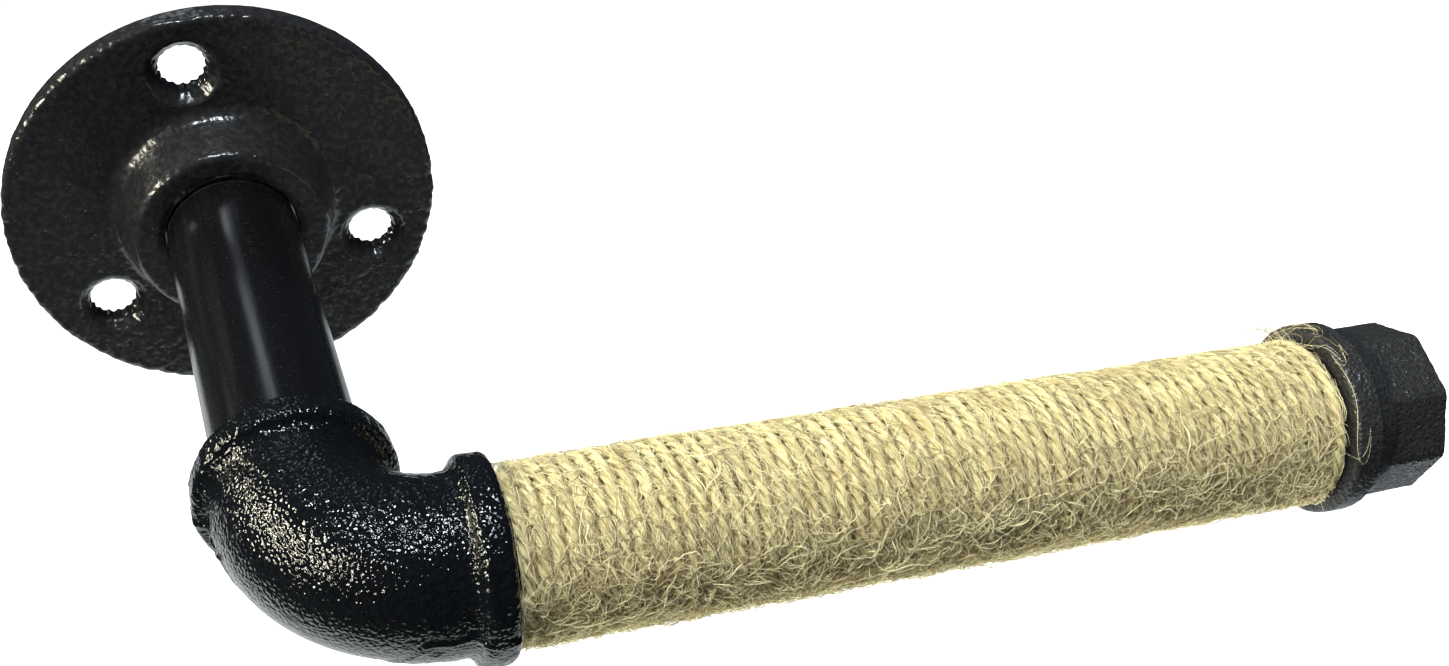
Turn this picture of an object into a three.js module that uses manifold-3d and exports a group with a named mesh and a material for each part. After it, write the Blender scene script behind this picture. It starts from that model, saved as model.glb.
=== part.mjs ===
// Toilet paper holder made of half inch pipe fittings: a round wall flange, a
// short stand-off pipe, a 90 degree elbow, an arm wound with jute twine and a
// screwed end cap.
//
// Millimetres. The origin is the centre of the flange's back face, on the wall.
// +Y points into the wall, so everything reaches out along -Y. The arm runs
// along +X and +Z is up.

import * as THREE from "three";
import { mergeVertices } from "three/addons/utils/BufferGeometryUtils.js";
import Module from "manifold-3d";

const wasm = await Module();
wasm.setup();

const HALF_TURN = Math.PI;
const FULL_TURN = 2 * Math.PI;

// Driving dimensions.

const PIPE_RADIUS = 21.3 / 2;
const PIPE_WALL = 2.77;
const PIPE_BORE_RADIUS = PIPE_RADIUS - PIPE_WALL;
const THREAD_PITCH = 25.4 / 14;
const THREAD_TURNS = 7;
const THREAD_DEPTH = 0.9;
const THREAD_LENGTH = THREAD_PITCH * THREAD_TURNS;
const THREAD_TAPER = 1 / 32;
const SEAT_GAP = 0.1;
const SOCKET_RADIUS = PIPE_RADIUS + SEAT_GAP;
const FACE_GAP = 0.3;

const WALL_TO_ARM = 101.2;
const FLANGE_RADIUS = 35.8;
const FLANGE_THICKNESS = 4.6;
const HUB_HEIGHT = 14.3;
const HUB_TOP_RADIUS = 15.9;
const HUB_BASE_RADIUS = 17.3;
const HUB_FILLET = 2.6;
const HUB_MOUTH_RADIUS = 11.8;
const SCREW_CIRCLE_RADIUS = 26.3;
const SCREW_COUNT = 3;
const SCREW_HOLE_RADIUS = 4.0;
const SCREW_SINK_RADIUS = 5.7;
const FIRST_SCREW_ANGLE = -0.188;

const ELBOW_REACH = 23.5;
const ELBOW_BEND_RADIUS = 16.5;
const ELBOW_BODY_RADIUS = 12.45;
const ELBOW_PASSAGE_RADIUS = 8.2;
const BEAD_RADIUS = 14.45;
const BEAD_WIDTH = 4.5;

const TWINE_THICKNESS = 1.9;
const TWINE_PITCH = 2.24;
const TWINE_GROOVE = 0.75;
const TWINE_RADIUS = PIPE_RADIUS + TWINE_THICKNESS;

const CAP_START = 151.8;
const CAP_LENGTH = 17.9;
const CAP_BAND_RADIUS = 14.85;
const CAP_BAND_WIDTH = 4.4;
const CAP_SHOULDER_END = 7.7;
const CAP_SIDES = 8;
const CAP_BASE_RADIUS = 13.6;
const CAP_END_RADIUS = 13.45;
const CAP_BEVEL = 0.7;

// Worked out from the dimensions above.

const NIPPLE_START = HUB_HEIGHT - THREAD_LENGTH;
const ELBOW_FACE = WALL_TO_ARM - ELBOW_REACH;
const STANDOFF_END = ELBOW_FACE + THREAD_LENGTH;
const STANDOFF_LENGTH = STANDOFF_END - NIPPLE_START;
const ARM_START = ELBOW_REACH - THREAD_LENGTH;
const CAP_SOCKET_DEPTH = 12.2;
const ARM_END = CAP_START + CAP_SOCKET_DEPTH - 0.6;
const ARM_LENGTH = ARM_END - ARM_START;
const TWINE_START = ELBOW_REACH + FACE_GAP;
const TWINE_LENGTH = CAP_START - FACE_GAP - TWINE_START;

// Finishes.

const castBlack = { color: 0x0b0b0d, roughness: 0.38, metalness: 0.0 };
const pipeBlack = { color: 0x060607, roughness: 0.16, metalness: 0.0 };
const jute = { color: 0xb79a5e, roughness: 0.95, metalness: 0.0 };

/** A named mesh with its own material. */
function piece(name, geometry, finish) {
  const mesh = new THREE.Mesh(geometry, new THREE.MeshStandardMaterial(finish));
  mesh.name = name;
  return mesh;
}

/** Turns a closed geometry, moved by its matrix, into a solid for joins and cuts. */
function toSolid(geometry, matrix = new THREE.Matrix4()) {
  const bare = geometry.clone().applyMatrix4(matrix);
  bare.deleteAttribute("normal");
  bare.deleteAttribute("uv");
  const merged = mergeVertices(bare, 1e-4);
  return new wasm.Manifold(
    new wasm.Mesh({
      numProp: 3,
      vertProperties: new Float32Array(merged.attributes.position.array),
      triVerts: new Uint32Array(merged.index.array),
    }),
  );
}

/** Turns a solid back into a geometry with one normal per corner. */
function toGeometry(solid) {
  const mesh = solid.getMesh();
  const geometry = new THREE.BufferGeometry();
  geometry.setAttribute("position", new THREE.BufferAttribute(new Float32Array(mesh.vertProperties), 3));
  geometry.setIndex(new THREE.BufferAttribute(new Uint32Array(mesh.triVerts), 1));
  geometry.computeVertexNormals();
  return geometry;
}

/** Revolves a profile of [radius, height] pairs round the local Y axis. */
function revolve(profile, segments) {
  const points = profile.map(([radius, height]) => new THREE.Vector2(radius, height));
  return new THREE.LatheGeometry(points, segments);
}

/** The profile of a round fillet, as [radius, height] pairs. */
function filletArc(centre, radius, fromAngle, toAngle, steps) {
  const arc = [];
  for (let step = 0; step <= steps; step += 1) {
    const angle = THREE.MathUtils.lerp(fromAngle, toAngle, step / steps);
    arc.push([centre[0] + radius * Math.cos(angle), centre[1] + radius * Math.sin(angle)]);
  }
  return arc;
}

/**
 * The flange's solid. Local +Y points away from the wall: a flat back, a plate
 * with a rounded rim, a hub on a fillet, a threaded bore and sunk screw holes.
 */
function flangeGeometry() {
  const rimRound = 1.2;
  const hubRound = 1.3;
  const mouthDepth = 1.1;
  const filletCentre = [HUB_BASE_RADIUS + HUB_FILLET, FLANGE_THICKNESS + HUB_FILLET];
  const profile = [
    [SOCKET_RADIUS, 0],
    [FLANGE_RADIUS - 0.5, 0],
    [FLANGE_RADIUS, 0.5],
    ...filletArc([FLANGE_RADIUS - rimRound, FLANGE_THICKNESS - rimRound], rimRound, 0, HALF_TURN / 2, 3),
    ...filletArc(filletCentre, HUB_FILLET, -HALF_TURN / 2, -HALF_TURN, 4),
    ...filletArc([HUB_TOP_RADIUS - hubRound, HUB_HEIGHT - hubRound], hubRound, 0, HALF_TURN / 2, 3),
    [HUB_MOUTH_RADIUS, HUB_HEIGHT],
    [SOCKET_RADIUS, HUB_HEIGHT - mouthDepth],
    [SOCKET_RADIUS, 0],
  ];
  let solid = toSolid(revolve(profile, 72));
  for (let index = 0; index < SCREW_COUNT; index += 1) {
    solid = solid.subtract(screwHoleCutter(index));
  }
  return toGeometry(solid);
}

/** The cutter for one countersunk screw hole of the flange. */
function screwHoleCutter(index) {
  const angle = FIRST_SCREW_ANGLE + (index * FULL_TURN) / SCREW_COUNT;
  const overrun = 1;
  const sinkDepth = SCREW_SINK_RADIUS - SCREW_HOLE_RADIUS;
  const cutter = revolve(
    [
      [0, -overrun],
      [SCREW_HOLE_RADIUS, -overrun],
      [SCREW_HOLE_RADIUS, FLANGE_THICKNESS - sinkDepth],
      [SCREW_SINK_RADIUS + overrun, FLANGE_THICKNESS + overrun],
      [0, FLANGE_THICKNESS + overrun],
    ],
    28,
  );
  const across = SCREW_CIRCLE_RADIUS * Math.sin(angle);
  const up = SCREW_CIRCLE_RADIUS * Math.cos(angle);
  return toSolid(cutter, new THREE.Matrix4().makeTranslation(across, 0, -up));
}

/** One end's thread ridges, from the pipe's end towards its middle. */
function threadRidges(endHeight, towardsMiddle) {
  const ridges = [];
  for (let turn = 0; turn < THREAD_TURNS; turn += 1) {
    const inset = turn * THREAD_PITCH;
    const crest = PIPE_RADIUS - 0.05 - THREAD_TAPER * (THREAD_LENGTH - inset);
    ridges.push([crest - THREAD_DEPTH, endHeight + towardsMiddle * inset]);
    ridges.push([crest, endHeight + towardsMiddle * (inset + THREAD_PITCH / 2)]);
  }
  ridges.push([PIPE_RADIUS - THREAD_DEPTH, endHeight + towardsMiddle * (THREAD_LENGTH - 0.6)]);
  ridges.push([PIPE_RADIUS, endHeight + towardsMiddle * THREAD_LENGTH]);
  return ridges;
}

/** A pipe nipple along local +Y from the origin: a tube with a thread at each end. */
function nippleGeometry(length) {
  const profile = [
    [PIPE_BORE_RADIUS, 0],
    ...threadRidges(0, 1),
    ...threadRidges(length, -1).reverse(),
    [PIPE_BORE_RADIUS, length],
    [PIPE_BORE_RADIUS, 0],
  ];
  return revolve(profile, 32);
}

/** A closed round solid swept through stations, each a centre, a side direction and a radius. */
function sweptSolid(stations, segments) {
  const up = new THREE.Vector3(0, 0, 1);
  const positions = [];
  const indices = [];
  for (const { centre, side, radius } of stations) {
    for (let corner = 0; corner < segments; corner += 1) {
      const angle = (corner / segments) * FULL_TURN;
      const point = centre.clone();
      point.addScaledVector(side, radius * Math.cos(angle));
      point.addScaledVector(up, radius * Math.sin(angle));
      positions.push(...point.toArray());
    }
  }
  for (let ring = 0; ring + 1 < stations.length; ring += 1) {
    for (let corner = 0; corner < segments; corner += 1) {
      const next = (corner + 1) % segments;
      const near = ring * segments;
      const far = near + segments;
      indices.push(near + corner, near + next, far + next);
      indices.push(near + corner, far + next, far + corner);
    }
  }
  const firstHub = positions.length / 3;
  positions.push(...stations[0].centre.toArray());
  positions.push(...stations[stations.length - 1].centre.toArray());
  const lastRing = (stations.length - 1) * segments;
  for (let corner = 0; corner < segments; corner += 1) {
    const next = (corner + 1) % segments;
    indices.push(firstHub, next, corner);
    indices.push(firstHub + 1, lastRing + corner, lastRing + next);
  }
  const geometry = new THREE.BufferGeometry();
  geometry.setAttribute("position", new THREE.Float32BufferAttribute(positions, 3));
  geometry.setIndex(indices);
  return geometry;
}

/** Stations from the mouth that opens along +Y, round the bend, to the mouth that opens along +X. */
function bendStations(mouthProfile, bodyRadius, bendSteps) {
  const stations = [];
  for (const [inset, radius] of mouthProfile) {
    stations.push({
      centre: new THREE.Vector3(0, ELBOW_REACH - inset, 0),
      side: new THREE.Vector3(1, 0, 0),
      radius,
    });
  }
  for (let step = 0; step <= bendSteps; step += 1) {
    const angle = HALF_TURN + (step / bendSteps) * (HALF_TURN / 2);
    const out = new THREE.Vector3(Math.cos(angle), Math.sin(angle), 0);
    const centre = new THREE.Vector3(ELBOW_BEND_RADIUS, ELBOW_BEND_RADIUS, 0);
    centre.addScaledVector(out, ELBOW_BEND_RADIUS);
    stations.push({ centre, side: out.negate(), radius: bodyRadius });
  }
  for (const [inset, radius] of mouthProfile.slice().reverse()) {
    stations.push({
      centre: new THREE.Vector3(ELBOW_REACH - inset, 0, 0),
      side: new THREE.Vector3(0, 1, 0),
      radius,
    });
  }
  return stations;
}

/** The elbow's solid round the corner at the origin, with a beaded mouth along +Y and one along +X. */
function elbowGeometry() {
  const outside = bendStations(
    [
      [0, BEAD_RADIUS - 0.7],
      [0.7, BEAD_RADIUS],
      [BEAD_WIDTH - 0.9, BEAD_RADIUS],
      [BEAD_WIDTH, BEAD_RADIUS - 0.9],
      [BEAD_WIDTH + 1.0, ELBOW_BODY_RADIUS],
    ],
    ELBOW_BODY_RADIUS,
    10,
  );
  const passage = bendStations([[5, ELBOW_PASSAGE_RADIUS]], ELBOW_PASSAGE_RADIUS, 8);
  const socketDepth = THREAD_LENGTH + 0.5;
  const overrun = 1;
  const socket = new THREE.CylinderGeometry(SOCKET_RADIUS, SOCKET_RADIUS, socketDepth + overrun, 40);
  const middle = ELBOW_REACH - socketDepth / 2 + overrun / 2;
  const alongX = new THREE.Matrix4().makeRotationZ(-HALF_TURN / 2);
  const placedAlongX = new THREE.Matrix4().makeTranslation(middle, 0, 0).multiply(alongX);
  const solid = toSolid(sweptSolid(outside, 40))
    .subtract(toSolid(sweptSolid(passage, 24)))
    .subtract(toSolid(socket, new THREE.Matrix4().makeTranslation(0, middle, 0)))
    .subtract(toSolid(socket, placedAlongX));
  return toGeometry(solid);
}

/**
 * The twine winding along local +Y from the origin: one sleeve whose outside
 * rises and falls with a helix, a ridge for each turn of the twine.
 */
function twineGeometry() {
  const segments = 24;
  const rows = Math.round((TWINE_LENGTH / TWINE_PITCH) * 4);
  const innerRadius = PIPE_RADIUS + FACE_GAP + 0.1;
  const radiusAt = (height, angle) => {
    const phase = height / TWINE_PITCH - angle / FULL_TURN;
    return TWINE_RADIUS - TWINE_GROOVE * (1 - Math.abs(Math.sin(Math.PI * phase)));
  };
  const rings = [[0, () => innerRadius]];
  for (let row = 0; row <= rows; row += 1) {
    const height = (row / rows) * TWINE_LENGTH;
    rings.push([height, (angle) => radiusAt(height, angle)]);
  }
  rings.push([TWINE_LENGTH, () => innerRadius]);
  const positions = [];
  const indices = [];
  for (const [height, radiusOf] of rings) {
    for (let corner = 0; corner < segments; corner += 1) {
      const angle = (corner / segments) * FULL_TURN;
      const radius = radiusOf(angle);
      positions.push(radius * Math.cos(angle), height, -radius * Math.sin(angle));
    }
  }
  for (let ring = 0; ring < rings.length; ring += 1) {
    const near = ring * segments;
    const far = ((ring + 1) % rings.length) * segments;
    for (let corner = 0; corner < segments; corner += 1) {
      const next = (corner + 1) % segments;
      indices.push(near + corner, near + next, far + next);
      indices.push(near + corner, far + next, far + corner);
    }
  }
  const geometry = new THREE.BufferGeometry();
  geometry.setAttribute("position", new THREE.Float32BufferAttribute(positions, 3));
  geometry.setIndex(indices);
  geometry.computeVertexNormals();
  return geometry;
}

/** The end cap along local +Y from its open rim: a round band, a shoulder and an eight sided head. */
function capGeometry() {
  const rimRound = 0.5;
  const band = revolve(
    [
      [0, 0],
      [CAP_BAND_RADIUS - rimRound, 0],
      [CAP_BAND_RADIUS, rimRound],
      [CAP_BAND_RADIUS, CAP_BAND_WIDTH],
      [CAP_BAND_RADIUS - 0.7, CAP_BAND_WIDTH + 0.8],
      [CAP_BASE_RADIUS - 0.3, CAP_SHOULDER_END],
      [CAP_BASE_RADIUS - 1.5, CAP_SHOULDER_END + 0.4],
      [0, CAP_SHOULDER_END + 0.4],
    ],
    48,
  );
  const headStart = CAP_BAND_WIDTH;
  const headLength = CAP_LENGTH - CAP_BEVEL - headStart;
  const head = new THREE.CylinderGeometry(CAP_END_RADIUS, CAP_BASE_RADIUS, headLength, CAP_SIDES);
  const bevel = new THREE.CylinderGeometry(CAP_END_RADIUS - CAP_BEVEL, CAP_END_RADIUS, CAP_BEVEL, CAP_SIDES);
  const socket = new THREE.CylinderGeometry(SOCKET_RADIUS, SOCKET_RADIUS, 2 * CAP_SOCKET_DEPTH, 40);
  const lift = (height) => new THREE.Matrix4().makeTranslation(0, height, 0);
  const solid = toSolid(band)
    .add(toSolid(head, lift(headStart + headLength / 2)))
    .add(toSolid(bevel, lift(CAP_LENGTH - CAP_BEVEL / 2)))
    .subtract(toSolid(socket));
  return toGeometry(solid);
}

const holder = new THREE.Group();

// The stand-off run: its local +Y points from the wall into the room.
const standoffRun = new THREE.Group();
standoffRun.rotation.x = HALF_TURN;
standoffRun.add(piece("wall_flange", flangeGeometry(), castBlack));
const standoff = piece("standoff_nipple", nippleGeometry(STANDOFF_LENGTH), pipeBlack);
standoff.position.y = NIPPLE_START;
standoffRun.add(standoff);
holder.add(standoffRun);

// The corner: the elbow opens towards the wall along +Y and towards the arm along +X.
const corner = new THREE.Group();
corner.position.y = -WALL_TO_ARM;
corner.add(piece("elbow", elbowGeometry(), castBlack));
holder.add(corner);

// The arm run: its local +Y points along the arm, away from the elbow.
const armRun = new THREE.Group();
armRun.rotation.z = -HALF_TURN / 2;
const arm = piece("arm_nipple", nippleGeometry(ARM_LENGTH), pipeBlack);
arm.position.y = ARM_START;
const winding = piece("twine_wrap", twineGeometry(), jute);
winding.position.y = TWINE_START;
const cap = piece("end_cap", capGeometry(), castBlack);
cap.position.y = CAP_START;
armRun.add(arm, winding, cap);
corner.add(armRun);

export default holder;
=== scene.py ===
"""Looks of a toilet paper holder made of half inch pipe fittings.

A round wall flange carries a short stand-off pipe, an elbow and an arm that is
wound with jute twine and closed by an end cap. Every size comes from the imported
frame, in metres: the origin is the centre of the flange's back face, +Y points
into the wall, the arm runs along +X and +Z is up.
"""

import logging
import math
from collections.abc import Sequence
from dataclasses import dataclass, field
from enum import Enum

import bpy
import numpy as np
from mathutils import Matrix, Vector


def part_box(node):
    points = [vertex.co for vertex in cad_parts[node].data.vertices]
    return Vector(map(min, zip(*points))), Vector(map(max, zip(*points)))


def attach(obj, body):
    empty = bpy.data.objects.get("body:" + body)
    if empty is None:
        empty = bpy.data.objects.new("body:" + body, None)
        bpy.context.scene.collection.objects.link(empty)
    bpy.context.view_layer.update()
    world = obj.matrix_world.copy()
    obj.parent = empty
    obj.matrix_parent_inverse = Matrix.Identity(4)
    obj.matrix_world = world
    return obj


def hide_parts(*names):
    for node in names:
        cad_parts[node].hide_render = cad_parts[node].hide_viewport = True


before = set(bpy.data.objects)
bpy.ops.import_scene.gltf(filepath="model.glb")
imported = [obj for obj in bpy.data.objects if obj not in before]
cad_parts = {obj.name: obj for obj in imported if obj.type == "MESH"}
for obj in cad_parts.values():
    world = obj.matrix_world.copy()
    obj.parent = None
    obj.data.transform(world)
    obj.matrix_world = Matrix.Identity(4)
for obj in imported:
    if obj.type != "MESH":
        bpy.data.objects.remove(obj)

LOG = logging.getLogger("pipe_holder")
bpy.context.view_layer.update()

MM = 0.001
TURN = 2.0 * math.pi

Array = np.ndarray


class Part(Enum):
    """The bodies that pieces ride on."""

    FLANGE = "flange"
    STANDOFF = "standoff"
    ELBOW = "elbow"
    ARM = "arm"
    CAP = "cap"


class Slot(Enum):
    """The record's material slots."""

    CASTING = "cast_fitting"
    PIPE = "pipe"
    TWINE = "twine"


# ---------------------------------------------------------------- sizes from the frame


@dataclass(frozen=True)
class NodeBox:
    """The lowest and highest corner of one CAD node.

    Args:
        node: the CAD node's name.
    """

    node: str

    @property
    def low(self) -> Array:
        """The lowest corner."""
        return np.array(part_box(self.node)[0])

    @property
    def high(self) -> Array:
        """The highest corner."""
        return np.array(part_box(self.node)[1])


FLANGE_BOX = NodeBox("wall_flange")
STANDOFF_BOX = NodeBox("standoff_nipple")
ELBOW_BOX = NodeBox("elbow")
ARM_BOX = NodeBox("arm_nipple")
TWINE_BOX = NodeBox("twine_wrap")
CAP_BOX = NodeBox("end_cap")

PIPE_RADIUS = float(ARM_BOX.high[2])
PIPE_WALL = 2.77 * MM
THREAD_PITCH = 25.4 * MM / 14
THREAD_LENGTH = 7 * THREAD_PITCH
WALL_TO_ARM = float(-(ARM_BOX.low[1] + ARM_BOX.high[1]) / 2)
ELBOW_REACH = float(ELBOW_BOX.high[0])
CAP_BAND_RADIUS = float(CAP_BOX.high[2])


@dataclass(frozen=True)
class Run:
    """A straight centre line that round pieces are built along.

    Args:
        start: a point on the line.
        along: the line's unit direction.
        across: a unit direction square to the line.
        up: the third unit direction, square to both.
    """

    start: tuple[float, float, float]
    along: tuple[float, float, float]
    across: tuple[float, float, float]
    up: tuple[float, float, float]

    def place(self, along: Array, across: Array, up: Array) -> Array:
        """Turns distances along the three directions into points.

        Args:
            along: distances along the line.
            across: distances across it.
            up: distances in the third direction.

        Returns:
            Points, with a last axis of length 3.
        """
        parts = np.broadcast_arrays(along, across, up)
        axes = np.array([self.along, self.across, self.up])
        return np.array(self.start) + np.stack(parts, axis=-1) @ axes


WALL_RUN = Run((0.0, 0.0, 0.0), (0.0, -1.0, 0.0), (1.0, 0.0, 0.0), (0.0, 0.0, 1.0))
ARM_RUN = Run((0.0, -WALL_TO_ARM, 0.0), (1.0, 0.0, 0.0), (0.0, -1.0, 0.0), (0.0, 0.0, 1.0))


# ---------------------------------------------------------------- random but repeatable fields


@dataclass(frozen=True)
class WaveField:
    """A smooth random field in space.

    The value is the sum of sines of plane waves in random directions, all of
    nearly one wavelength, divided so that it mostly stays between -1 and 1.

    Args:
        seed: picks the waves.
        wavelength: the distance from crest to crest, in metres.
        waves: how many waves are added.
        spread: how far single waves stray from the wavelength, as a share.
    """

    seed: int
    wavelength: float
    waves: int = 26
    spread: float = 0.3

    def at(self, points: Array) -> Array:
        """The field at each point.

        Args:
            points: an array whose last axis is x, y, z.

        Returns:
            One value for each point.
        """
        rng = np.random.default_rng(self.seed)
        heading = rng.normal(size=(self.waves, 3))
        heading /= np.linalg.norm(heading, axis=1, keepdims=True)
        length = self.wavelength * (1 + self.spread * rng.uniform(-1, 1, self.waves))
        phase = rng.uniform(0, TURN, self.waves)
        number = heading * (TURN / length)[:, None]
        flat = points.reshape(-1, 3)
        total = np.zeros(len(flat))
        for wave in range(self.waves):
            total += np.sin(flat @ number[wave] + phase[wave])
        return (total / math.sqrt(self.waves)).reshape(points.shape[:-1])


@dataclass(frozen=True)
class LineField:
    """A smooth random value along a line: random knots joined by cosine steps.

    Args:
        seed: picks the knots.
        spacing: the distance between knots.
    """

    seed: int
    spacing: float

    def at(self, place: Array) -> Array:
        """The value at each place on the line, between -1 and 1.

        Args:
            place: distances along the line, none of them negative.

        Returns:
            One value for each place.
        """
        scaled = place / self.spacing
        knots = np.random.default_rng(self.seed).uniform(-1, 1, int(scaled.max()) + 3)
        low = np.floor(scaled).astype(int)
        share = 0.5 - 0.5 * np.cos(math.pi * (scaled - low))
        return knots[low] * (1 - share) + knots[low + 1] * share


def smooth_step(value: Array, start: float, end: float) -> Array:
    """Rises smoothly from 0 at start to 1 at end.

    Args:
        value: where to read the step.
        start: where it leaves 0.
        end: where it reaches 1.

    Returns:
        The step, by the formula 3 t squared minus 2 t cubed.
    """
    share = np.clip((value - start) / (end - start), 0, 1)
    return share * share * (3 - 2 * share)


# ---------------------------------------------------------------- surfaces


@dataclass
class Shell:
    """One closed surface of four-cornered faces.

    Args:
        points: its corners, one row each.
        quads: four corner numbers for each face; a last one repeated makes a triangle.
        uv: one pair for each corner of each face, or None.
        shade: one value for each corner, or None.
    """

    points: Array
    quads: Array
    uv: Array | None = None
    shade: Array | None = None

    def outward(self) -> "Shell":
        """Turns the faces round if the enclosed volume comes out negative."""
        corners = self.points[self.quads]
        volume = np.einsum("ij,ij->i", corners[:, 0], np.cross(corners[:, 1], corners[:, 2])).sum()
        volume += np.einsum("ij,ij->i", corners[:, 0], np.cross(corners[:, 2], corners[:, 3])).sum()
        if volume < 0:
            self.quads = self.quads[:, ::-1]
            self.uv = None if self.uv is None else self.uv[:, ::-1]
        return self

    def normals(self) -> Array:
        """Unit normals at the corners: the summed normals of the faces round each one."""
        corners = self.points[self.quads]
        facing = np.cross(corners[:, 2] - corners[:, 0], corners[:, 3] - corners[:, 1])
        total = np.zeros_like(self.points)
        for axis in range(3):
            weights = np.repeat(facing[:, axis], 4)
            total[:, axis] = np.bincount(self.quads.ravel(), weights, len(self.points))
        return total / np.maximum(np.linalg.norm(total, axis=1, keepdims=True), 1e-12)


def tube_shell(rings: Array, uv_length: Array | None = None, uv_round: float = 1.0) -> Shell:
    """A closed tube through rings of points, with a fan of triangles at each end.

    Args:
        rings: points of shape (rows, columns, 3).
        uv_length: the U value of each row, or None for no UV map.
        uv_round: the V value once round the tube.

    Returns:
        The closed shell.
    """
    rows, columns = rings.shape[:2]
    number = np.arange(rows * columns).reshape(rows, columns)
    beside = np.roll(number, -1, axis=1)
    sides = np.stack([number[:-1], beside[:-1], beside[1:], number[1:]], axis=-1).reshape(-1, 4)
    first, last = rows * columns, rows * columns + 1
    start = np.stack([np.full(columns, first), beside[0], number[0], number[0]], axis=-1)
    end = np.stack([np.full(columns, last), number[-1], beside[-1], beside[-1]], axis=-1)
    points = np.concatenate([rings.reshape(-1, 3), rings[[0, -1]].mean(axis=1)])
    quads = np.concatenate([sides, start, end])
    uv = None
    if uv_length is not None:
        u = np.broadcast_to(uv_length[:, None], (rows, columns))
        v = np.broadcast_to(np.arange(columns) / columns * uv_round, (rows, columns))
        next_v = v + uv_round / columns
        low = np.stack([u[:-1], v[:-1]], axis=-1)
        low_next = np.stack([u[:-1], next_v[:-1]], axis=-1)
        high_next = np.stack([u[1:], next_v[1:]], axis=-1)
        high = np.stack([u[1:], v[1:]], axis=-1)
        side_uv = np.stack([low, low_next, high_next, high], axis=2).reshape(-1, 4, 2)
        uv = np.concatenate([side_uv, np.zeros((2 * columns, 4, 2))])
    return Shell(points, quads, uv).outward()


def ring_shell(rings: Array) -> Shell:
    """A closed ring, such as a tube's wall: the last row joins the first.

    Args:
        rings: points of shape (rows, columns, 3), round the section and round the axis.

    Returns:
        The closed shell.
    """
    rows, columns = rings.shape[:2]
    number = np.arange(rows * columns).reshape(rows, columns)
    beside = np.roll(number, -1, axis=1)
    above = np.roll(number, -1, axis=0)
    corner = np.roll(beside, -1, axis=0)
    quads = np.stack([number, beside, corner, above], axis=-1).reshape(-1, 4)
    return Shell(rings.reshape(-1, 3), quads).outward()


def arc(centre: tuple[float, float], radius: float, start: float, end: float, steps: int) -> Array:
    """Points on an arc of a profile.

    Args:
        centre: the arc's centre, as radius and height.
        radius: the arc's own radius.
        start: the first angle, in degrees.
        end: the last angle, in degrees.
        steps: how many steps lie between them.

    Returns:
        Rows of radius and height.
    """
    angle = np.radians(np.linspace(start, end, steps + 1))
    return np.stack([centre[0] + radius * np.cos(angle), centre[1] + radius * np.sin(angle)], axis=1)


def denser(profile: Array, step: float) -> Array:
    """Adds points to a profile so that none is further than a step from the next.

    Args:
        profile: rows of radius and height.
        step: the longest distance allowed.

    Returns:
        The profile with its own points kept and evenly spaced ones between them.
    """
    stretches = []
    for near, far in zip(profile[:-1], profile[1:]):
        count = max(1, int(math.ceil(float(np.linalg.norm(far - near)) / step)))
        stretches.append(near + (far - near) * (np.arange(count) / count)[:, None])
    return np.concatenate(stretches + [profile[-1:]])


def revolve(run: Run, profile: Array, columns: int, closed: bool) -> Shell:
    """Turns a profile round a run.

    Each point is the run's start plus height along it, and radius times cosine
    and sine of the angle across it.

    Args:
        run: the centre line.
        profile: rows of radius and height. Open profiles end in fans on the axis.
        columns: how many steps go round.
        closed: whether the profile's end joins its start.

    Returns:
        The closed shell.
    """
    angle = np.arange(columns) / columns * TURN
    radius, height = profile[:, 0, None], profile[:, 1, None]
    rings = run.place(height + 0 * angle, radius * np.cos(angle), radius * np.sin(angle))
    return ring_shell(rings) if closed else tube_shell(rings)


def link(obj: bpy.types.Object) -> bpy.types.Object:
    """Puts an object in the scene's own collection."""
    bpy.context.scene.collection.objects.link(obj)
    return obj


def mesh_of(name: str, shell: Shell) -> bpy.types.Mesh:
    """Makes a mesh of a shell's arrays.

    Args:
        name: the mesh's name.
        shell: the surface.

    Returns:
        The mesh, smooth shaded, with its UV map and shade attribute if it has them.
    """
    loops = shell.quads.ravel()
    keep = np.ones(shell.quads.shape, bool)
    keep[:, 3] = shell.quads[:, 3] != shell.quads[:, 2]
    loops = loops[keep.ravel()]
    totals = keep.sum(axis=1)
    starts = np.concatenate([[0], np.cumsum(totals)[:-1]])
    mesh = bpy.data.meshes.new(name)
    mesh.vertices.add(len(shell.points))
    mesh.vertices.foreach_set("co", shell.points.astype(np.float32).ravel())
    mesh.loops.add(len(loops))
    mesh.loops.foreach_set("vertex_index", loops.astype(np.int32))
    mesh.polygons.add(len(totals))
    mesh.polygons.foreach_set("loop_start", starts.astype(np.int32))
    mesh.polygons.foreach_set("use_smooth", np.ones(len(totals), bool))
    mesh.update(calc_edges=True)
    if shell.uv is not None:
        layer = mesh.uv_layers.new(name="along")
        layer.uv.foreach_set("vector", shell.uv.reshape(-1, 2)[keep.ravel()].astype(np.float32).ravel())
    if shell.shade is not None:
        shade = mesh.attributes.new("shade", "FLOAT", "POINT")
        shade.data.foreach_set("value", shell.shade.astype(np.float32))
    return mesh


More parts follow.
